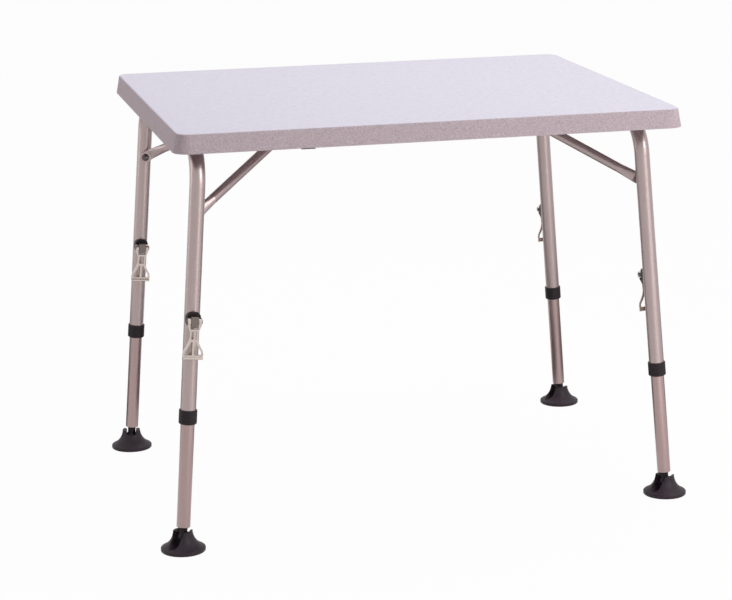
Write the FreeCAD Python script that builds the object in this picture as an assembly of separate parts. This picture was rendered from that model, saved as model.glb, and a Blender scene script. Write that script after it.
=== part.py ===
import FreeCAD, Part
import math
import os
from FreeCAD import Placement, Rotation, Vector

# Camping table: moulded top, two folding U leg frames and four telescopic legs.
# Millimetres, +Z up, floor at z = 0, long side of the top along X, front at -Y.

# Top
TOP_LENGTH = 900.0
TOP_WIDTH = 748.0
TABLE_HEIGHT = 731.0
SKIRT_HEIGHT = 33.5
SKIRT_INSET = 6.0
SKIRT_WALL = 4.0
DECK = 5.0
CORNER_RADIUS = 28.0
EDGE_ROUND = 3.5

# Leg frames: each one is a bent tube, leaning outward and splayed
UPPER_RADIUS = 13.5
LOWER_RADIUS = 12.0
TUBE_WALL = 1.2
LEG_END_INSET = 46.0
LEG_SIDE_INSET = 72.6
CROSSBAR_DEPTH = 37.0
FRAME_OFFSET = -36.8
LEAN = 4.34
SPLAY = 1.5
BEND_RADIUS = 60.0

# Stations along a leg, measured from its corner with the crossbar
RIVET_AT = 109.3
BUSH_TOP_AT = 252.0
LOWER_TOP_AT = 262.0
CLAMP_AT = 285.0
COLLAR_TOP_AT = 444.5
UPPER_END_AT = 462.0
COLLAR_END_AT = 469.5
STUD_REACH = 19.2

# Travel of a lower leg from the pictured height
RETRACT = 135.0
EXTEND = 10.0

# Clearances
RUNNING = 0.05
SLIDING = 0.1
LOOSE = 0.4

# Clamp
BOLT_RADIUS = 4.0
SHOE_GAP = 0.3
SHOE_HALF_HEIGHT = 6.0
SHOE_HALF_WIDTH = 9.0
SHOE_BACK = 5.5
BOLT_PAST_PIVOT = 2.0
SEAT_WIDTH = 25.0
SEAT_HEIGHT = 27.0
SEAT_DEPTH = 7.0
SEAT_RISE = 1.0
SEAT_BACK = 4.0
SEAT_CORNER = 9.5
SEAT_EDGE = 1.5
PIVOT_STANDOFF = 28.0
NUT_WIDTH = 13.0
NUT_HEIGHT = 18.0
NUT_DEPTH = 12.0
NUT_FACE = 5.5
NUT_EDGE = 1.2
AXLE_RADIUS = 4.0
AXLE_LENGTH = 27.0
EAR_INSIDE = 7.0
EAR_OUTSIDE = 12.0
CAM_RADIUS = 6.6
CAM_OFFSET = 0.8
LEVER_LENGTH = 65.0
LEVER_TIP_WIDTH = 36.0
LEVER_NECK_WIDTH = 15.0
LEVER_THICK = 3.0
LEVER_LEAN = 8.0
LEVER_STANDOFF = 1.0
LIP_RADIUS = 2.7
LIP_SINK = 0.3
LIP_INSET = 0.5

# Guide bush and the slot below it
SPIGOT_LENGTH = 5.0
SPIGOT_WALL = 2.5
SLOT_SPARE = 0.2

# Collar
COLLAR_RADIUS = 15.8
COLLAR_CHAMFER = 1.6
COLLAR_EDGE = 0.8

# Brace: a bent bar with flattened ends
BRACE_RADIUS = 8.5
BRACE_TAB_WIDTH = 20.0
BRACE_TAB_THICK = 4.0
BRACE_TAB_LENGTH = 14.0
BRACE_TAB_GAP = 0.6
BRACE_BAR_INSET = 190.0
BRACE_BAR_DEPTH = 31.0
BRACE_HALF_WIDTH = 137.0
BRACE_BEND = 40.0
SWAGE_LENGTH = 42.0
SWAGE_LAP = 3.0
SWAGE_SHIFT = 1.0
SWAGE_BULGE = 0.5
RIVET_RADIUS = 4.0
RIVET_HEAD_RADIUS = 7.0
RIVET_HEAD_HEIGHT = 3.0
RIVET_PLAY = 1.5
RIVET_UPSET = 1.6

# Fittings under the top
BLOCK_AT = 195.0
BLOCK_WIDTH = 40.0
BLOCK_HALF_LENGTH = 33.0
BLOCK_CORNER = 4.0
STRAP_WIDTH = 24.0
STRAP_THICK = 2.0
STRAP_FLANGE = 31.0
SCREW_RADIUS = 2.5
SCREW_HEAD_RADIUS = 4.7
SCREW_HEAD_HEIGHT = 2.6
SCREW_HEAD_EDGE = 1.2
SCREW_BITE = 3.0
STRAP_SCREW_AT = 24.0
CATCH_WIDTH = 44.0
CATCH_WALL = 6.0
CATCH_LIP = 12.0
CATCH_BELOW = 9.0
CATCH_PLATE = 5.0
CATCH_FLANGE = 16.0
CATCH_SCREW_BACK = 22.0
CATCH_SCREW_SIDE = 14.0
CATCH_EXIT = (0.896, -0.444)
CLIP_INSET = 185.0
CLIP_WIDTH = 24.0
CLIP_DEPTH = 28.0
CLIP_PLATE = 4.0
CLIP_FLANGE = 16.0
CLIP_SCREW_AT = 20.0
CLIP_DROP = 38.0
CLIP_GAP = 0.8
FOLD_ANGLE = 89.0

# Feet
FOOT_RADIUS = 39.0
FOOT_RIM = 5.5
RIM_CHAMFER = 1.2
SOLE_CHAMFER = 1.0
FLARE_RADIUS = 24.0
FLARE_HEIGHT = 17.0
NECK_RADIUS = 17.0
FOOT_HEIGHT = 36.0
BALL_HEIGHT = 24.0
BALL_RADIUS = 10.0
SOCKET_GAP = 0.25
MOUTH_RADIUS = 8.25
FUNNEL_RADIUS = 12.6
FUNNEL_FLOOR = 30.0
STUD_RADIUS = 7.35
STEM_RADIUS = 5.0
STEM_LENGTH = 24.0
PLUG_LENGTH = 30.0
PLUG_FLANGE = 3.0
PLUG_NOSE_RADIUS = 7.4
SLOT_HALF_WIDTH = 9.6
SLOT_START = 7.5
THROAT_HALF_WIDTH = 9.0
THROAT_LENGTH = 12.0
RELIEF_HALF_WIDTH = 12.0
RELIEF_FLOOR = 27.0
RELIEF_START = 9.0
SLOT_FLOOR = 8.0
NOTCH_FLOOR = 28.0

# Which way the slot of each foot faces, in degrees from +X
FOOT_TURN = {"front_left": 220.0, "back_left": 80.0, "front_right": 207.0, "back_right": 193.0}

# Sizes that follow from the ones above
FRAME_X = TOP_LENGTH / 2 - LEG_END_INSET
FRAME_WIDTH = TOP_WIDTH - 2 * LEG_SIDE_INSET
UNDERSIDE = TABLE_HEIGHT - DECK
CROSSBAR_Z = TABLE_HEIGHT - CROSSBAR_DEPTH
BRACE_BAR_X = FRAME_X - BRACE_BAR_INSET
BRACE_BAR_Z = TABLE_HEIGHT - BRACE_BAR_DEPTH
CLIP_X = FRAME_X - CLIP_INSET
CLIP_BOTTOM = TABLE_HEIGHT - CLIP_DROP
SLOPE = math.cos(math.radians(LEAN)) * math.cos(math.radians(SPLAY))
BALL_AT = (CROSSBAR_Z - BALL_HEIGHT) / SLOPE
LOWER_END_AT = BALL_AT - STUD_REACH
UPPER_BORE = UPPER_RADIUS - TUBE_WALL
LOWER_BORE = LOWER_RADIUS - TUBE_WALL
SEAT_FACE = UPPER_RADIUS + SEAT_DEPTH
HALF_TURN = Placement(Vector(0, 0, 0), Rotation(Vector(0, 0, 1), 180))
X = Vector(1, 0, 0)
Y = Vector(0, 1, 0)
Z = Vector(0, 0, 1)


def placed(shape, placement):
    moved = shape.copy()
    moved.Placement = placement.multiply(shape.Placement)
    return moved


def rod(radius, start, end):
    return Part.makeCylinder(radius, (end - start).Length, start, end - start)


def box(x0, x1, y0, y1, z0, z1):
    return Part.makeBox(x1 - x0, y1 - y0, z1 - z0, Vector(x0, y0, z0))


def joined(first, *others):
    return first.fuse(list(others)).removeSplitter()


def save(name, *shapes):
    shape = shapes[0] if len(shapes) == 1 else Part.makeCompound(list(shapes))
    shape.exportStep("parts/" + name + ".step")


def polygon(points):
    return Part.makePolygon(list(points) + [points[0]])


def rounded_rectangle(length, width, radius, z):
    a, b = length / 2, width / 2
    edges = []
    previous = None
    first = None
    for sx, sy, start in ((1, 1, 0), (-1, 1, 90), (-1, -1, 180), (1, -1, 270)):
        centre = Vector(sx * (a - radius), sy * (b - radius), z)
        on = []
        for turn in (0, 45, 90):
            angle = math.radians(start + turn)
            on.append(centre + Vector(math.cos(angle), math.sin(angle), 0) * radius)
        if previous:
            edges.append(Part.makeLine(previous, on[0]))
        first = first or on[0]
        edges.append(Part.Arc(*on).toShape())
        previous = on[2]
    edges.append(Part.makeLine(previous, first))
    return Part.Wire(edges)


def drafted_block(inset, top_z):
    """A block with the skirt's draft, set in from the outside of the top."""
    low_z = TABLE_HEIGHT - SKIRT_HEIGHT
    high_inset = inset + SKIRT_INSET * (top_z - low_z) / SKIRT_HEIGHT
    wires = []
    for z, back in ((low_z, inset), (top_z, high_inset)):
        size = (TOP_LENGTH - 2 * back, TOP_WIDTH - 2 * back, CORNER_RADIUS - back)
        wires.append(rounded_rectangle(*size, z))
    return Part.makeLoft(wires, True, True)


def edges_at(shape, z):
    return [e for e in shape.Edges if all(abs(v.Z - z) < 0.01 for v in e.Vertexes)]


def tabletop(screw_places):
    outside = drafted_block(0, TABLE_HEIGHT)
    outside = outside.makeFillet(EDGE_ROUND, edges_at(outside, TABLE_HEIGHT))
    hollow = drafted_block(SKIRT_WALL, UNDERSIDE)
    holes = [rod(SCREW_RADIUS, p, p + Z * SCREW_BITE) for p in screw_places]
    return outside.cut([hollow] + holes)


def leg_placement(side):
    """From a leg's own frame, its corner at the origin and -Z down the leg, on the left frame."""
    corner = Vector(-FRAME_X, FRAME_OFFSET + side * FRAME_WIDTH / 2, CROSSBAR_Z)
    lean = Rotation(Y, LEAN)
    splay = Rotation(X, side * SPLAY)
    return Placement(corner, lean.multiply(splay))


def frame_placement():
    return Placement(Vector(-FRAME_X, FRAME_OFFSET, CROSSBAR_Z), Rotation(Y, LEAN))


def bent_path(points, radius):
    """A path of straight lines with a rounded bend at each inner point."""
    edges = []
    start = points[0]
    for before, corner, after in zip(points, points[1:], points[2:]):
        u = (before - corner).normalize()
        v = (after - corner).normalize()
        half = u.getAngle(v) / 2
        reach = radius / math.tan(half)
        middle = (u + v).normalize()
        centre = corner + middle * (radius / math.sin(half))
        first, last = corner + u * reach, corner + v * reach
        edges.append(Part.makeLine(start, first))
        edges.append(Part.Arc(first, centre - middle * radius, last).toShape())
        start = last
    edges.append(Part.makeLine(start, points[-1]))
    return Part.Wire(edges)


def swept(points, bend, radius):
    path = bent_path(points, bend)
    start = Part.makeCircle(radius, points[0], points[1] - points[0])
    return path.makePipeShell([Part.Wire(start)], True, False)


def leg_point(side, along):
    splay = math.radians(SPLAY)
    return Vector(0, side * (FRAME_WIDTH / 2 + along * math.sin(splay)), -along * math.cos(splay))


def leg_frame():
    corners = [leg_point(-1, 0), leg_point(1, 0)]
    ends = [leg_point(-1, UPPER_END_AT), leg_point(1, UPPER_END_AT)]
    past = UPPER_END_AT + TUBE_WALL
    over = [leg_point(-1, past), leg_point(1, past)]
    tube = swept([ends[0], *corners, ends[1]], BEND_RADIUS, UPPER_RADIUS)
    bore = swept([over[0], *corners, over[1]], BEND_RADIUS, UPPER_BORE)
    tube = placed(tube.cut(bore), frame_placement())
    for side in (-1, 1):
        hole = rod(BOLT_RADIUS, Vector(0, -2 * UPPER_RADIUS, -CLAMP_AT), Vector(0, 0, -CLAMP_AT))
        tube = tube.cut(placed(hole, leg_placement(side)))
        tab = rivet_point(side)
        tube = tube.cut(rod(RIVET_RADIUS, tab, tab + Y * side * UPPER_RADIUS))
    return tube


def rivet_point(side):
    """Where a brace rivet meets the middle of the brace's tab, inside the leg."""
    on_axis = leg_placement(side).multVec(Vector(0, 0, -RIVET_AT))
    inward = UPPER_RADIUS / math.cos(math.radians(SPLAY)) + BRACE_TAB_GAP + BRACE_TAB_THICK / 2
    return on_axis - Y * side * inward


def brace_placement():
    """From the brace's own frame, +X from the rivets to its bar and its bar along Y."""
    rivet = rivet_point(-1)
    rise = math.atan2(BRACE_BAR_Z - rivet.z, rivet_to_bar())
    return Placement(Vector(rivet.x, FRAME_OFFSET, rivet.z), Rotation(Y, -math.degrees(rise)))


def rivet_to_bar():
    return -BRACE_BAR_X - rivet_point(-1).x


def brace_reach():
    return math.hypot(rivet_to_bar(), BRACE_BAR_Z - rivet_point(-1).z)


def brace_end_width():
    return abs(rivet_point(-1).y - FRAME_OFFSET)


def oval(centre, across, half_width, half_height):
    """An ellipse that is tallest along Z."""
    curve = Part.Ellipse(centre + Z * half_height, centre + across * half_width, centre)
    return Part.Wire(curve.toShape())


def brace_tab(side, arm_start, arm_way):
    """The flattened end with its rivet hole and the swage to the round arm."""
    y = side * brace_end_width()
    half, rim = BRACE_TAB_THICK / 2, BRACE_TAB_WIDTH / 2
    plate = box(0, BRACE_TAB_LENGTH, y - half, y + half, -rim, rim)
    end = rod(rim, Vector(0, y - half, 0), Vector(0, y + half, 0))
    flat_at = Vector(BRACE_TAB_LENGTH - SWAGE_LAP, y - side * SWAGE_SHIFT, 0)
    flat = oval(flat_at, Y, half + SWAGE_BULGE, rim - RUNNING)
    inside = BRACE_RADIUS - LOOSE
    end_round = oval(arm_start + arm_way * (SWAGE_LAP / 2), Z.cross(arm_way), inside - 0.01, inside)
    swage = Part.makeLoft([flat, end_round], True, True)
    through = Vector(0, BRACE_TAB_THICK, 0)
    hole = rod(RIVET_RADIUS + RUNNING, Vector(0, y, 0) - through, Vector(0, y, 0) + through)
    return plate.fuse([end, swage]).cut(hole)


def brace():
    reach, wide = brace_reach(), brace_end_width()
    bar = [Vector(reach, side * BRACE_HALF_WIDTH, 0) for side in (-1, 1)]
    tabs_at = [Vector(BRACE_TAB_LENGTH / 2, side * wide, 0) for side in (-1, 1)]
    ways = [(b - t).normalize() for b, t in zip(bar, tabs_at)]
    starts = [t + w * SWAGE_LENGTH for t, w in zip(tabs_at, ways)]
    arms = swept([starts[0], *bar, starts[1]], BRACE_BEND, BRACE_RADIUS)
    tabs = [brace_tab(s, p, w) for s, p, w in zip((-1, 1), starts, ways)]
    return placed(arms.fuse(tabs), brace_placement())


def brace_rivet(side):
    tab = rivet_point(side)
    half = BRACE_TAB_THICK / 2
    out = Y * side
    face = tab - out * (half + RUNNING)
    tail = tab + out * (half + BRACE_TAB_GAP + TUBE_WALL + RIVET_PLAY)
    shank = rod(RIVET_RADIUS, face, tail + out * RIVET_UPSET)
    upset = rod(RIVET_RADIUS + RIVET_UPSET, tail, tail + out * RIVET_UPSET)
    ball = (RIVET_HEAD_RADIUS**2 + RIVET_HEAD_HEIGHT**2) / (2 * RIVET_HEAD_HEIGHT)
    dome = Part.makeSphere(ball, face + out * (ball - RIVET_HEAD_HEIGHT))
    head = dome.common(rod(ball * 2, face, face - out * ball * 2))
    return joined(shank, upset, head)


def collar():
    top, end = Vector(0, 0, -COLLAR_TOP_AT), Vector(0, 0, -COLLAR_END_AT)
    body = rod(COLLAR_RADIUS, end, top)
    body = body.makeChamfer(COLLAR_CHAMFER, edges_at(body, -COLLAR_END_AT))
    body = body.makeFillet(COLLAR_EDGE, edges_at(body, -COLLAR_TOP_AT))
    tube_end = Vector(0, 0, -UPPER_END_AT)
    return body.cut([rod(UPPER_RADIUS, tube_end, top), rod(LOWER_RADIUS + SLIDING, end, top)])


def edges_on_face(shape, y):
    return [e for e in shape.Edges if all(abs(v.Y - y) < 0.01 for v in e.Vertexes)]


def edges_along(shape, way):
    return [e for e in shape.Edges if abs(e.tangentAt(e.FirstParameter).dot(way)) > 0.9]


def clamp_seat():
    half, tall = SEAT_WIDTH / 2, SEAT_HEIGHT / 2
    middle = -CLAMP_AT + SEAT_RISE
    block = box(-half, half, -SEAT_FACE, -SEAT_BACK, middle - tall, middle + tall)
    block = block.makeFillet(SEAT_CORNER, edges_along(block, Y))
    block = block.makeFillet(SEAT_EDGE, edges_on_face(block, -SEAT_FACE))
    bolt_at = Vector(0, 0, -CLAMP_AT)
    tube = rod(UPPER_RADIUS, bolt_at - Z * SEAT_HEIGHT, bolt_at + Z * SEAT_HEIGHT)
    hole = rod(BOLT_RADIUS, bolt_at - Y * (2 * SEAT_FACE), bolt_at)
    return block.cut([tube, hole])


def clamp_bolt():
    """The draw bolt, with the curved shoe that it pulls against the lower tube from inside."""
    middle = Vector(0, 0, -CLAMP_AT)
    low, high = middle - Z * SHOE_HALF_HEIGHT, middle + Z * SHOE_HALF_HEIGHT
    shoe = rod(LOWER_BORE - SHOE_GAP, low, high)
    shoe = shoe.common(box(-SHOE_HALF_WIDTH, SHOE_HALF_WIDTH, -LOWER_RADIUS, -SHOE_BACK, low.z, high.z))
    in_shoe = (SHOE_BACK + LOWER_BORE - SHOE_GAP) / 2
    shank = rod(BOLT_RADIUS, middle - Y * (PIVOT_STANDOFF + BOLT_PAST_PIVOT), middle - Y * in_shoe)
    return joined(shoe, shank)


def barrel_nut():
    pivot = Vector(0, -PIVOT_STANDOFF, -CLAMP_AT)
    half, tall = NUT_WIDTH / 2, NUT_HEIGHT / 2
    near = pivot.y + NUT_FACE
    far = near - NUT_DEPTH
    block = box(-half, half, far, near, pivot.z - tall, pivot.z + tall)
    block = block.makeFillet(NUT_EDGE, edges_on_face(block, far))
    axle = rod(AXLE_RADIUS, pivot - X * (AXLE_LENGTH / 2), pivot + X * (AXLE_LENGTH / 2))
    bore = rod(BOLT_RADIUS, pivot - Y * BOLT_PAST_PIVOT, pivot + Y * PIVOT_STANDOFF)
    return joined(block, axle).cut(bore)


def lever_outline():
    """Across and down from the pivot: ears, neck, then the flare, which is set out from the tip."""
    neck, tip, end = LEVER_NECK_WIDTH / 2, LEVER_TIP_WIDTH / 2, -LEVER_LENGTH
    half = [(EAR_OUTSIDE, 3), (EAR_OUTSIDE, -6), (EAR_OUTSIDE - 2.4, -12), (neck, -18)]
    half += [(neck, end + 35), (neck + 2, end + 27), (neck + 5.4, end + 20)]
    half += [(tip - 1.2, end + 13), (tip, end + 7), (tip - 1, end)]
    return half + [(-x, z) for x, z in reversed(half)]


def plate_of(outline, front, thick):
    """A flat plate of this outline in X and Z, from its front face towards -Y."""
    face = Part.Face(polygon([Vector(x, front, z) for x, z in outline]))
    return face.extrude(Vector(0, -thick, 0))


def lever_windows():
    """The gap for the nut, a window in the neck and the two triangles beside the middle rib."""
    neck, tip, end = LEVER_NECK_WIDTH / 2, LEVER_TIP_WIDTH / 2, -LEVER_LENGTH
    windows = []
    for half, top, bottom in ((EAR_INSIDE, 10, -12.5), (neck - 3.1, -16, end + 34)):
        windows.append([(-half, top), (half, top), (half, bottom), (-half, bottom)])
    triangle = [(1.8, end + 29.5), (1.8, end + 5.5), (tip - 3.4, end + 5.5), (tip - 3.8, end + 11)]
    triangle += [(neck + 2.1, end + 18), (neck - 1.5, end + 25), (neck - 2.9, end + 29.5)]
    for side in (-1, 1):
        windows.append([(side * x, z) for x, z in triangle])
    return [plate_of(w, LEVER_THICK, 3 * LEVER_THICK) for w in windows]


def cam_lever():
    plate = plate_of(lever_outline(), 0, LEVER_THICK).cut(lever_windows())
    tip = LEVER_TIP_WIDTH / 2 - LIP_INSET
    lip_at = Vector(0, -LIP_RADIUS + LIP_SINK, -LEVER_LENGTH)
    lip = rod(LIP_RADIUS, lip_at - X * tip, lip_at + X * tip)
    plate = plate.fuse(lip)
    plate = placed(plate, Placement(Vector(0, -LEVER_STANDOFF, 0), Rotation(X, LEVER_LEAN)))
    ears = []
    for side in (-1, 1):
        middle = Vector(0, CAM_OFFSET, 0)
        ears.append(rod(CAM_RADIUS, middle + X * side * EAR_INSIDE, middle + X * side * EAR_OUTSIDE))
    hole = rod(AXLE_RADIUS + RUNNING, X * (-2 * EAR_OUTSIDE), X * (2 * EAR_OUTSIDE))
    lever = plate.fuse(ears).cut(hole).removeSplitter()
    return placed(lever, Placement(Vector(0, -PIVOT_STANDOFF, -CLAMP_AT), Rotation()))


def lower_tube():
    """The sliding tube, with the slot that lets it pass the draw bolt."""
    top, end = Vector(0, 0, -LOWER_TOP_AT), Vector(0, 0, -LOWER_END_AT)
    tube = rod(LOWER_RADIUS, end, top).cut(rod(LOWER_BORE, end, top))
    half = BOLT_RADIUS + LOOSE
    low, high = -CLAMP_AT - SLOT_SPARE - RETRACT, -CLAMP_AT + SLOT_SPARE + EXTEND
    outside = -2 * LOWER_RADIUS
    slot = box(-half, half, outside, 0, low, high)
    ends = [rod(half, Vector(0, outside, z), Vector(0, 0, z)) for z in (low, high)]
    return tube.cut([slot] + ends)


def guide_bush():
    top, tube_top = Vector(0, 0, -BUSH_TOP_AT), Vector(0, 0, -LOWER_TOP_AT)
    flange = rod(UPPER_BORE - RUNNING, tube_top, top)
    low = tube_top - Z * SPIGOT_LENGTH
    spigot = rod(LOWER_BORE, low, tube_top)
    return joined(flange, spigot).cut(rod(LOWER_BORE - SPIGOT_WALL, low, top))


def end_plug():
    end = Vector(0, 0, -LOWER_END_AT)
    flange = Part.makeCone(PLUG_NOSE_RADIUS, LOWER_RADIUS, PLUG_FLANGE, end - Z * PLUG_FLANGE, Z)
    plug = rod(LOWER_BORE, end, end + Z * PLUG_LENGTH)
    bore = rod(STEM_RADIUS + RUNNING, end - Z * PLUG_FLANGE, end + Z * PLUG_LENGTH)
    return joined(flange, plug).cut(bore)


def ball_stud():
    ball_at = Vector(0, 0, -BALL_AT)
    shoulder = Vector(0, 0, -LOWER_END_AT - PLUG_FLANGE)
    ball = Part.makeSphere(BALL_RADIUS, ball_at)
    neck = rod(STUD_RADIUS, ball_at, shoulder - Z * RUNNING)
    stem = rod(STEM_RADIUS, shoulder - Z * PLUG_FLANGE, shoulder + Z * STEM_LENGTH)
    return joined(ball, neck, stem)


def foot_profile():
    """Half of the bell's section: the flat sole, the rim and the flare up to the neck."""
    rim_top = Vector(FOOT_RADIUS - RIM_CHAMFER, 0, FOOT_RIM + RIM_CHAMFER)
    neck, top = Vector(NECK_RADIUS, 0, FOOT_HEIGHT), Vector(0, 0, FOOT_HEIGHT)
    rim = [Vector(0, 0, 0), Vector(FOOT_RADIUS - SOLE_CHAMFER, 0, 0), Vector(FOOT_RADIUS, 0, SOLE_CHAMFER)]
    rim += [Vector(FOOT_RADIUS, 0, FOOT_RIM), rim_top]
    edges = [Part.makeLine(a, b) for a, b in zip(rim, rim[1:])]
    edges.append(Part.Arc(rim_top, Vector(FLARE_RADIUS, 0, FLARE_HEIGHT), neck).toShape())
    edges.append(Part.makeLine(neck, top))
    edges.append(Part.makeLine(top, rim[0]))
    return Part.Face(Part.Wire(edges))


def foot():
    """A bell foot round a ball socket, its deep slot towards +X and the shallow notch opposite."""
    bell = foot_profile().revolve(Vector(0, 0, 0), Z, 360)
    centre = Vector(0, 0, BALL_HEIGHT)
    socket = Part.makeSphere(BALL_RADIUS + SOCKET_GAP, centre)
    mouth = rod(MOUTH_RADIUS, centre, Vector(0, 0, FOOT_HEIGHT))
    funnel_at = Vector(0, 0, FUNNEL_FLOOR)
    funnel = Part.makeCone(MOUTH_RADIUS, FUNNEL_RADIUS, FOOT_HEIGHT - FUNNEL_FLOOR, funnel_at)
    far = 2 * FOOT_RADIUS
    floor = SLOT_FLOOR + SLOT_HALF_WIDTH
    slot = box(0, far, -SLOT_HALF_WIDTH, SLOT_HALF_WIDTH, floor, far)
    slot = slot.fuse(rod(SLOT_HALF_WIDTH, Vector(0, 0, floor), Vector(far, 0, floor)))
    slot = slot.common(box(SLOT_START, far, -far, far, 0, far))
    throat = box(0, THROAT_LENGTH, -THROAT_HALF_WIDTH, THROAT_HALF_WIDTH, BALL_HEIGHT, far)
    relief = box(RELIEF_START, far, -RELIEF_HALF_WIDTH, RELIEF_HALF_WIDTH, RELIEF_FLOOR, far)
    notch = box(-far, 0, -THROAT_HALF_WIDTH, THROAT_HALF_WIDTH, NOTCH_FLOOR, far)
    return bell.cut([socket, mouth, funnel, slot, throat, relief, notch])


def under_screw(head_seat):
    """A pan head screw that stands on a fitting's face and bites into the deck."""
    shank = rod(SCREW_RADIUS, head_seat, Vector(head_seat.x, head_seat.y, UNDERSIDE + SCREW_BITE))
    head = rod(SCREW_HEAD_RADIUS, head_seat - Z * SCREW_HEAD_HEIGHT, head_seat)
    head = head.makeFillet(SCREW_HEAD_EDGE, edges_at(head, head_seat.z - SCREW_HEAD_HEIGHT))
    return joined(head, shank)


def holes_for(seats):
    through = Z * (2 * CROSSBAR_DEPTH)
    return [rod(SCREW_RADIUS, s - through, s + through) for s in seats]


def block_places():
    return [FRAME_OFFSET - BLOCK_AT, FRAME_OFFSET + BLOCK_AT]


def strap_screw_seats(y):
    z = CROSSBAR_Z - STRAP_THICK
    return [Vector(-FRAME_X + s * STRAP_SCREW_AT, y, z) for s in (-1, 1)]


def hinge_axis(y, half):
    """The stretch of the crossbar's axis that a hinge part of this half width covers."""
    return [Vector(-FRAME_X, y - half, CROSSBAR_Z), Vector(-FRAME_X, y + half, CROSSBAR_Z)]


def hinge_block(y):
    half = BLOCK_WIDTH / 2
    x0, x1 = -FRAME_X - BLOCK_HALF_LENGTH, -FRAME_X + BLOCK_HALF_LENGTH
    block = box(x0, x1, y - half, y + half, CROSSBAR_Z, UNDERSIDE)
    block = block.makeFillet(BLOCK_CORNER, edges_along(block, Z))
    seat = rod(UPPER_RADIUS + SLIDING, *hinge_axis(y, half))
    return block.cut([seat] + holes_for(strap_screw_seats(y)))


def hinge_strap(y):
    half = STRAP_WIDTH / 2
    axis = hinge_axis(y, half)
    inner = UPPER_RADIUS + SLIDING
    bow = rod(inner + STRAP_THICK, *axis)
    x0, x1 = -FRAME_X - STRAP_FLANGE, -FRAME_X + STRAP_FLANGE
    flange = box(x0, x1, y - half, y + half, CROSSBAR_Z - STRAP_THICK, CROSSBAR_Z)
    below = box(x0, x1, y - half, y + half, CROSSBAR_Z - STRAP_FLANGE, CROSSBAR_Z)
    strap = bow.fuse(flange).cut(rod(inner, *axis)).common(below).removeSplitter()
    return strap.cut(holes_for(strap_screw_seats(y)))


def catch_screw_seats():
    x, z = -BRACE_BAR_X - CATCH_SCREW_BACK, UNDERSIDE - CATCH_PLATE
    return [Vector(x, FRAME_OFFSET + s * CATCH_SCREW_SIDE, z) for s in (-1, 1)]


def brace_catch():
    """A cup that the brace's bar lies in, open towards the way the bar leaves."""
    bar = BRACE_RADIUS + LOOSE
    reach = bar + CATCH_WALL
    y0, y1 = FRAME_OFFSET - CATCH_WIDTH / 2, FRAME_OFFSET + CATCH_WIDTH / 2
    x = -BRACE_BAR_X
    lip = x + CATCH_LIP
    body = box(x - reach, lip, y0, y1, BRACE_BAR_Z - CATCH_BELOW, UNDERSIDE)
    foot_plate = box(x - reach - CATCH_FLANGE, lip, y0, y1, UNDERSIDE - CATCH_PLATE, UNDERSIDE)
    axis = [Vector(x, y0, BRACE_BAR_Z), Vector(x, y1, BRACE_BAR_Z)]
    turn = math.degrees(math.atan2(-CATCH_EXIT[1], CATCH_EXIT[0]))
    way_out = box(0, 2 * CATCH_WIDTH, y0 - LOOSE, y1 + LOOSE, -bar, bar)
    way_out = placed(way_out, Placement(Vector(x, 0, BRACE_BAR_Z), Rotation(Y, turn)))
    catch = joined(body, foot_plate).cut([rod(bar, *axis), way_out])
    return catch.cut(holes_for(catch_screw_seats()))


def folded_leg_line():
    """Two points on the axis of the left frame's front leg when it is folded away."""
    hinge = Placement(Vector(-FRAME_X, 0, CROSSBAR_Z), Rotation(Y, -FOLD_ANGLE))
    back = Placement(Vector(FRAME_X, 0, -CROSSBAR_Z), Rotation())
    turn = hinge.multiply(back)
    leg = leg_placement(-1)
    return [turn.multVec(leg.multVec(Vector(0, 0, -along))) for along in (BEND_RADIUS, COLLAR_TOP_AT)]


def clip_middle():
    a, b = folded_leg_line()
    share = (-CLIP_X - a.x) / (b.x - a.x)
    return a + (b - a) * share


def clip_screw_seats():
    middle = clip_middle()
    z = UNDERSIDE - CLIP_PLATE
    return [Vector(middle.x + s * CLIP_SCREW_AT, middle.y, z) for s in (-1, 1)]


def leg_clip():
    """The rest that steadies the folded front leg."""
    middle = clip_middle()
    y0, y1 = middle.y - CLIP_DEPTH / 2, middle.y + CLIP_DEPTH / 2
    half = CLIP_WIDTH / 2
    wide = half + CLIP_FLANGE
    body = box(middle.x - half, middle.x + half, y0, y1, CLIP_BOTTOM, UNDERSIDE)
    foot_plate = box(middle.x - wide, middle.x + wide, y0, y1, UNDERSIDE - CLIP_PLATE, UNDERSIDE)
    clip = joined(body, foot_plate).cut(rod(UPPER_RADIUS + CLIP_GAP, *folded_leg_line()))
    return clip.cut(holes_for(clip_screw_seats()))


def screw_seats():
    seats = catch_screw_seats() + clip_screw_seats()
    for y in block_places():
        seats += strap_screw_seats(y)
    return seats


def both_sides(name, shapes):
    """Save a left node and its right partner, half a turn round the table's middle."""
    save("left_" + name, *shapes)
    save("right_" + name, *[placed(s, HALF_TURN) for s in shapes])


def save_leg(left_name, right_name, side):
    made = {
        "collar": collar(),
        "clamp_seat": clamp_seat(),
        "clamp_bolt": clamp_bolt(),
        "barrel_nut": barrel_nut(),
        "cam_lever": cam_lever(),
        "lower_tube": lower_tube(),
        "guide_bush": guide_bush(),
        "end_plug": end_plug(),
        "ball_stud": ball_stud(),
    }
    left = leg_placement(side)
    right = HALF_TURN.multiply(left)
    for leg, where in ((left_name, left), (right_name, right)):
        for piece, shape in made.items():
            save(leg + "_" + piece, placed(shape, where))
        ball = where.multVec(Vector(0, 0, -BALL_AT))
        stand = Placement(Vector(ball.x, ball.y, 0), Rotation(Z, FOOT_TURN[leg]))
        save(leg + "_foot", placed(foot(), stand))


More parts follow.
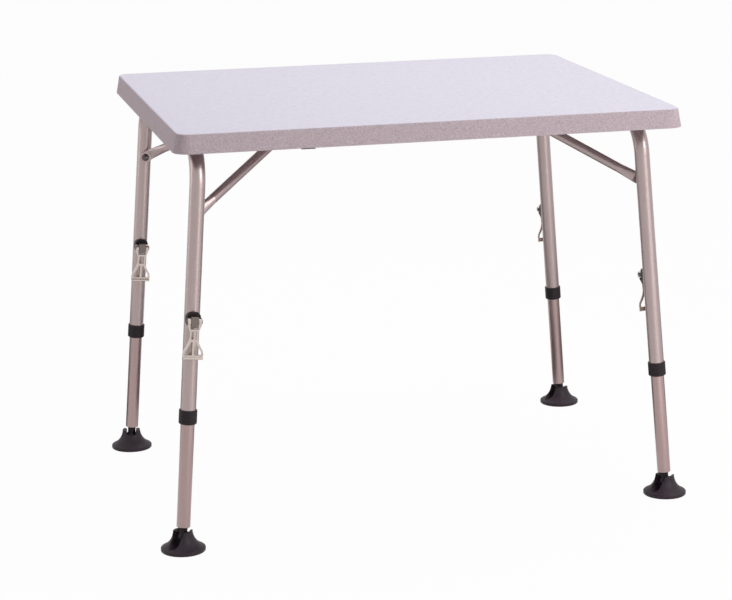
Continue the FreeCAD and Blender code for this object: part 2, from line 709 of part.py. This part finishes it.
def main():
    os.makedirs("parts", exist_ok=True)
    seats = screw_seats()
    seats += [HALF_TURN.multVec(s) for s in seats]
    save("tabletop", tabletop([Vector(s.x, s.y, UNDERSIDE) for s in seats]))
    save("underside_screws", *[under_screw(s) for s in seats])
    both_sides("leg_frame", [leg_frame()])
    both_sides("brace", [brace()])
    both_sides("brace_rivets", [brace_rivet(-1), brace_rivet(1)])
    both_sides("hinge_straps", [hinge_strap(y) for y in block_places()])
    both_sides("hinge_blocks", [hinge_block(y) for y in block_places()])
    both_sides("brace_catch", [brace_catch()])
    both_sides("leg_clip", [leg_clip()])
    save_leg("front_left", "back_right", -1)
    save_leg("back_left", "front_right", 1)


main()
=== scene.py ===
import math

import bpy
from mathutils import Matrix, Vector

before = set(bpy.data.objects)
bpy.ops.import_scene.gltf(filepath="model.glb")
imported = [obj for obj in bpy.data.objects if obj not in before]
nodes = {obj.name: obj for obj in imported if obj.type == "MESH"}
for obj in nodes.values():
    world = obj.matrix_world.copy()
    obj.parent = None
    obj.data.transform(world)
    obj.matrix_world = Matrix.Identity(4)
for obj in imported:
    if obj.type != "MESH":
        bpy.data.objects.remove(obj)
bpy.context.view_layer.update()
scene = bpy.context.scene
scene.view_settings.view_transform = "Standard"

# Patterns in the finishes, in millimetres. Real threads lie about 1 mm apart, and drawn lines and mould
# grain are a tenth of a millimetre or finer, so these are drawn coarser than real to show in the render
THREAD_PITCH = 3.0
LINEN_PATCH = 5.0
SKIRT_SPECK = 2.2
TOP_GRAIN_DEPTH = 0.12
TUBE_LINE = 1.2
PLATING_LINE = 1.0
MOULD_GRAIN = 0.8
MOULD_GRAIN_DEPTH = 0.04

# How a pattern is stretched along x, y and z: a small number makes it long in that direction
LEFT_TO_RIGHT = (0.55, 1.0, 1.0)
FRONT_TO_BACK = (1.0, 0.3, 1.0)
UPRIGHT = (1.0, 1.0, 0.15)
UPRIGHT_LONG = (1.0, 1.0, 0.02)
EVEN = (1.0, 1.0, 1.0)

# How strongly threads and patches lighten the linen, and the spans of noise that give full contrast
THREAD_SHARE = 0.3
PATCH_SHARE = 0.75
FIBRE_LOW, FIBRE_HIGH = 0.36, 0.64
GRAIN_LOW, GRAIN_HIGH = 0.35, 0.65

# The normal's upward part where the skirt's look, darkened with painted shade, ends and where the top's
# begins
SHADED_SKIRT_END, FACE_START = 0.55, 0.9

# Camera, fitted to the photograph, in metres, degrees and millimetres
CAMERA_PLACE = (-1.0565, -4.3557, 1.4121)
CAMERA_REACH = 100.0
CAMERA_AZIMUTH = -13.137
CAMERA_ELEVATION = 13.532
CAMERA_ROLL = -0.821
LENS_MM = 120.4
SENSOR_MM = 36.0

# Studio, in metres, and its light as a share of white
FLOOR_SIZE = 30.0
FLOOR_DROP = 0.0005
CARD_LIFT = 0.001
FLOOR_GLOW = 0.965
ROOM_LIGHT = 0.4
WHITE = "#FFFFFF"
PAINTED_SHADE_PAPER = "#4A4143"

COLOUR = {"data_type": "RGBA"}


def linear(code):
    """A colour written as sRGB hex, as a linear colour with full alpha."""
    values = []
    for i in (1, 3, 5):
        c = int(code[i:i + 2], 16) / 255
        values.append(c / 12.92 if c <= 0.04045 else ((c + 0.055) / 1.055) ** 2.4)
    return (*values, 1.0)


def add(tree, kind, settings=(), **inputs):
    """Add a shader node with its settings. An input goes by its name, or by _ and its number."""
    node = tree.nodes.new(kind)
    for name, value in dict(settings).items():
        setattr(node, name, value)
    for name, value in inputs.items():
        key = int(name[1:]) if name[0] == "_" else name.replace("_", " ")
        socket = node.inputs[key]
        if isinstance(value, bpy.types.NodeSocket):
            tree.links.new(value, socket)
        else:
            socket.default_value = value
    return node


def surface(name, code, roughness, **more):
    """A material with one principled shader, and its tree and shader."""
    material = bpy.data.materials.new(name)
    material.use_nodes = True
    material.diffuse_color = linear(code)
    tree = material.node_tree
    shader = tree.nodes["Principled BSDF"]
    for key, value in {"Base_Color": linear(code), "Roughness": roughness, **more}.items():
        shader.inputs[key.replace("_", " ")].default_value = value
    return material, tree, shader


def per_mm(size_mm):
    """The noise scale, in object metres, that gives grains of this size."""
    return 1000.0 / size_mm


def stripes_per_mm(pitch_mm):
    """The wave scale, in object metres, that gives bands of this pitch."""
    return math.pi / 10 * 1000.0 / pitch_mm


def linen_face(tree, place):
    """The colour and relief of the top's face: pale lilac, with threads both ways and cloudy patches."""
    threads = []
    for way in ("X", "Y"):
        wave = add(tree, "ShaderNodeTexWave", {"bands_direction": way}, Vector=place,
                   Scale=stripes_per_mm(THREAD_PITCH), Distortion=5.0, Detail=3.0, Detail_Scale=0.5)
        threads.append(wave.outputs["Fac"])
    weave = add(tree, "ShaderNodeMath", {"operation": "MULTIPLY"}, _0=threads[0], _1=threads[1]).outputs[0]
    drawn = add(tree, "ShaderNodeMapping", Vector=place, Scale=LEFT_TO_RIGHT)
    cloth = add(tree, "ShaderNodeTexNoise", Vector=drawn.outputs[0], Scale=per_mm(LINEN_PATCH),
                Detail=4.0, Roughness=0.7)
    patches = add(tree, "ShaderNodeMapRange", _0=cloth.outputs["Fac"], _1=FIBRE_LOW, _2=FIBRE_HIGH,
                  _4=PATCH_SHARE)
    linen = add(tree, "ShaderNodeMath", {"operation": "MULTIPLY_ADD"}, _0=weave, _1=THREAD_SHARE,
                _2=patches.outputs[0])
    colour = add(tree, "ShaderNodeMix", COLOUR, _0=linen.outputs[0], _6=linear("#D9D4E3"),
                 _7=linear("#EAE8F2"))
    return colour.outputs[2], weave


def speckled_shaded_skirt(tree, place):
    """The colour and relief of the skirt and the underside: a warmer grey with fine fibre specks of grain,
    its darker tone painted shade.
    """
    noise = add(tree, "ShaderNodeTexNoise", Vector=place, Scale=per_mm(SKIRT_SPECK),
                Detail=3.0, Roughness=0.65)
    specks = add(tree, "ShaderNodeMapRange", _0=noise.outputs["Fac"], _1=FIBRE_LOW, _2=FIBRE_HIGH).outputs[0]
    colour = add(tree, "ShaderNodeMix", COLOUR, _0=specks, _6=linear("#AE9DA3"), _7=linear("#CCBEC3"))
    return colour.outputs[2], specks


def moulded_top():
    """Fibre-filled plastic, moulded with a linen grain: matt and pale on its face, and darker on its skirt
    with painted shade.
    """
    name = "fibre_plastic_linen_satin"
    material, tree, shader = surface(name, "#DAD6E2", 0.62, IOR=1.52, Specular_IOR_Level=0.22)
    place = add(tree, "ShaderNodeTexCoord").outputs["Object"]
    face, weave = linen_face(tree, place)
    skirt, specks = speckled_shaded_skirt(tree, place)
    normal = add(tree, "ShaderNodeSeparateXYZ", Vector=add(tree, "ShaderNodeNewGeometry").outputs["Normal"])
    # Faces that point up take the pale top colour; sides and underside take the skirt's darker colour, which
    # is painted shade
    upward = add(tree, "ShaderNodeMapRange", _0=normal.outputs["Z"], _1=SHADED_SKIRT_END, _2=FACE_START).outputs[0]
    colour = add(tree, "ShaderNodeMix", COLOUR, _0=upward, _6=skirt, _7=face)
    height = add(tree, "ShaderNodeMix", COLOUR, _0=upward, _6=specks, _7=weave)
    bump = add(tree, "ShaderNodeBump", Height=height.outputs[2], Distance=TOP_GRAIN_DEPTH / 1000.0,
               Strength=0.35)
    tree.links.new(colour.outputs[2], shader.inputs["Base Color"])
    tree.links.new(bump.outputs["Normal"], shader.inputs["Normal"])
    return material


def drawn_metal(name, dark, light, roughness, line_mm, stretch, detail=2.0, metallic=1.0, **more):
    """Metal whose colour and shine vary in faint lines, or evenly, so that its highlight breaks up."""
    material, tree, shader = surface(name, dark, sum(roughness) / 2, Metallic=metallic, **more)
    place = add(tree, "ShaderNodeTexCoord").outputs["Object"]
    mapped = add(tree, "ShaderNodeMapping", Vector=place, Scale=stretch)
    noise = add(tree, "ShaderNodeTexNoise", Vector=mapped.outputs[0], Scale=per_mm(line_mm), Detail=detail)
    lines = noise.outputs["Fac"]
    colour = add(tree, "ShaderNodeMix", COLOUR, _0=lines, _6=linear(dark), _7=linear(light))
    rough = add(tree, "ShaderNodeMapRange", _0=lines, _3=roughness[0], _4=roughness[1])
    tree.links.new(colour.outputs[2], shader.inputs["Base Color"])
    tree.links.new(rough.outputs[0], shader.inputs["Roughness"])
    return material


def anodised_tube(name, dark, light):
    """Satin anodised aluminium, drawn along the tube: a soft highlight on warm grey, under a clear layer."""
    return drawn_metal(name, dark, light, (0.32, 0.42), TUBE_LINE, UPRIGHT_LONG, detail=3.0, metallic=0.9,
                       Coat_Weight=0.6, Coat_Roughness=0.3)


def black_moulding(name, dark, light, roughness):
    """Moulded black plastic with a fine spark-eroded grain, which dulls its shine."""
    material, tree, shader = surface(name, dark, roughness, IOR=1.53, Specular_IOR_Level=0.22)
    place = add(tree, "ShaderNodeTexCoord").outputs["Object"]
    noise = add(tree, "ShaderNodeTexNoise", Vector=place, Scale=per_mm(MOULD_GRAIN),
                Detail=2.0, Roughness=0.6)
    grains = add(tree, "ShaderNodeMapRange", _0=noise.outputs["Fac"], _1=GRAIN_LOW, _2=GRAIN_HIGH).outputs[0]
    colour = add(tree, "ShaderNodeMix", COLOUR, _0=grains, _6=linear(dark), _7=linear(light))
    bump = add(tree, "ShaderNodeBump", Height=grains, Distance=MOULD_GRAIN_DEPTH / 1000.0, Strength=0.3)
    tree.links.new(colour.outputs[2], shader.inputs["Base Color"])
    tree.links.new(bump.outputs["Normal"], shader.inputs["Normal"])
    return material


TOP = moulded_top()
# The lower tubes took the anodising a little darker and warmer than the frames
UPPER_TUBE = anodised_tube("anodised_aluminium_satin", "#9E8C8A", "#B2A1A0")
LOWER_TUBE = anodised_tube("anodised_aluminium_warm", "#9B8381", "#AF9795")
# Nylon is nearly black, and the plastic of the feet is a shade lighter
NYLON = black_moulding("glass_filled_nylon_black", "#1C1519", "#261D22", 0.5)
FOOT = black_moulding("moulded_plastic_charcoal", "#291F27", "#352A32", 0.52)
# Plating makes the levers bright, with a slightly streaked shine
NICKEL = drawn_metal("nickel_plated_steel_satin", "#B8ABA3", "#D8CDC5", (0.14, 0.28), PLATING_LINE, UPRIGHT)
# Blasting leaves the barrel nuts dull and dark
BARREL = drawn_metal("bead_blasted_steel", "#6A605D", "#857B77", (0.28, 0.42), PLATING_LINE, EVEN)
# Burnished rivet heads mirror the room darkly
RIVET = drawn_metal("burnished_steel_polished", "#4A4445", "#676061", (0.1, 0.24), PLATING_LINE, EVEN)
# Zinc gives screws, straps and bolts a cool pale grey
ZINC = drawn_metal("zinc_plated_steel", "#B3B3B5", "#CFCFD2", (0.26, 0.4), PLATING_LINE, FRONT_TO_BACK)

# Finishes by the ending of a node's name. What isn't listed is nylon
FINISH = {
    "tabletop": TOP, "leg_frame": UPPER_TUBE, "brace": UPPER_TUBE, "lower_tube": LOWER_TUBE,
    "cam_lever": NICKEL, "barrel_nut": BARREL, "clamp_bolt": ZINC, "underside_screws": ZINC,
    "brace_rivets": RIVET, "hinge_straps": ZINC, "foot": FOOT,
}
for name, obj in nodes.items():
    finish = next((look for ending, look in FINISH.items() if name.endswith(ending)), NYLON)
    obj.data.materials.clear()
    obj.data.materials.append(finish)


def aim(azimuth, elevation, roll):
    """The camera's rotation, from the azimuth and elevation that it looks from and its roll."""
    a, e, r = map(math.radians, (azimuth, elevation, roll))
    back = Vector((math.sin(a) * math.cos(e), -math.cos(a) * math.cos(e), math.sin(e)))
    right = (-back).cross(Vector((0, 0, 1))).normalized()
    up = right.cross(-back)
    across = math.cos(r) * right + math.sin(r) * up
    upward = math.cos(r) * up - math.sin(r) * right
    return Matrix((across, upward, back)).transposed().to_4x4()


camera = bpy.data.objects.new("camera", bpy.data.cameras.new("camera"))
camera.data.sensor_width = SENSOR_MM
camera.data.lens = LENS_MM
camera.data.clip_end = CAMERA_REACH
turn = aim(CAMERA_AZIMUTH, CAMERA_ELEVATION, CAMERA_ROLL)
camera.matrix_world = Matrix.Translation(CAMERA_PLACE) @ turn
scene.collection.objects.link(camera)
scene.camera = camera


def lamp(name, place, target, size, watts):
    """A rectangular studio lamp, turned to its target and out of the camera's sight."""
    data = bpy.data.lights.new(name, "AREA")
    data.shape = "RECTANGLE"
    data.size, data.size_y = size
    data.energy = watts
    obj = bpy.data.objects.new(name, data)
    way = Vector(place) - Vector(target)
    obj.matrix_world = Matrix.Translation(place) @ way.to_track_quat("Z", "Y").to_matrix().to_4x4()
    obj.visible_camera = False
    scene.collection.objects.link(obj)


lamp("key_right_front", place=(2.1, -2.8, 2.1), target=(0.1, 0, 0.45), size=(1.4, 2.4), watts=60.0)
# This strip stands below the top, so that it only lights the legs and the skirt
lamp("strip_right_low", place=(1.45, -2.3, 0.38), target=(0, 0, 0.35), size=(1.6, 0.64), watts=3.6)
lamp("strip_left", place=(-3.1, 0.7, 1.3), target=(0, 0, 0.4), size=(0.4, 2.2), watts=10.0)
lamp("overhead", place=(0.6, 0.6, 3.2), target=(0, 0, 0.6), size=(2.6, 2.2), watts=37.0)


def card(name, middle, size, turn, code, glow=0.0):
    """A card on the floor that only shows in shiny surfaces, to give round metal painted dark rims and a
    painted highlight.
    """
    place = (*middle, CARD_LIFT)
    bpy.ops.mesh.primitive_plane_add(size=1.0, location=place, rotation=(0, 0, math.radians(turn)))
    sheet = bpy.context.object
    sheet.name = name
    sheet.scale = (*size, 1.0)
    for kind in ("camera", "diffuse", "shadow", "transmission", "volume_scatter"):
        setattr(sheet, "visible_" + kind, False)
    paper = surface(name + "_paper", code, 0.9, Emission_Color=linear(code), Emission_Strength=glow)[0]
    sheet.data.materials.append(paper)


# The dark cards paint shade into the metal's reflections, as from under the table
card("dark_card_left", middle=(-0.95, 1.0), size=(1.3, 1.3), turn=0, code=PAINTED_SHADE_PAPER)
card("dark_card_right", middle=(1.25, 0.7), size=(1.2, 1.5), turn=0, code=PAINTED_SHADE_PAPER)
card("dark_card_middle", middle=(0.05, 0.25), size=(0.6, 0.6), turn=0, code=PAINTED_SHADE_PAPER)
# The white card glows though it is no lamp, a painted highlight on the metal
card("white_card_right", middle=(0.85, -1.9), size=(0.8, 2.3), turn=26, code=WHITE, glow=0.7)


def seen(tree):
    """1 for rays from the camera and for what metal or glass shows, else 0."""
    path = add(tree, "ShaderNodeLightPath")
    total = path.outputs["Is Camera Ray"]
    for more in ("Is Glossy Ray", "Is Transmission Ray"):
        either = add(tree, "ShaderNodeMath", {"operation": "MAXIMUM"}, _0=total, _1=path.outputs[more])
        total = either.outputs[0]
    return total


def white_room():
    """A world that looks white and lights the table softly."""
    world = bpy.data.worlds.new("studio")
    scene.world = world
    world.use_nodes = True
    tree = world.node_tree
    tree.nodes.clear()
    soft = add(tree, "ShaderNodeBackground", Color=linear("#F4F1F3"), Strength=ROOM_LIGHT)
    white = add(tree, "ShaderNodeBackground", Color=linear(WHITE), Strength=1.0)
    mix = add(tree, "ShaderNodeMixShader", _0=seen(tree), _1=soft.outputs[0], _2=white.outputs[0])
    add(tree, "ShaderNodeOutputWorld", Surface=mix.outputs[0])


def white_floor():
    """A pale floor with a faint shadow, clear from below, so that it never hides the table."""
    bpy.ops.mesh.primitive_plane_add(size=FLOOR_SIZE, location=(0, 0, -FLOOR_DROP))
    floor = bpy.context.object
    floor.name = "floor"
    material, tree, shader = surface("studio_floor_white", "#EFEDEE", 0.9)
    glow = add(tree, "ShaderNodeEmission", Color=linear(WHITE), Strength=1.0)
    part = add(tree, "ShaderNodeMath", {"operation": "MULTIPLY"}, _0=seen(tree), _1=FLOOR_GLOW)
    above = add(tree, "ShaderNodeMixShader", _0=part.outputs[0], _1=shader.outputs[0], _2=glow.outputs[0])
    below = add(tree, "ShaderNodeNewGeometry").outputs["Backfacing"]
    clear = add(tree, "ShaderNodeBsdfTransparent")
    both = add(tree, "ShaderNodeMixShader", _0=below, _1=above.outputs[0], _2=clear.outputs[0])
    tree.links.new(both.outputs[0], tree.nodes["Material Output"].inputs["Surface"])
    floor.data.materials.append(material)


white_room()
white_floor()
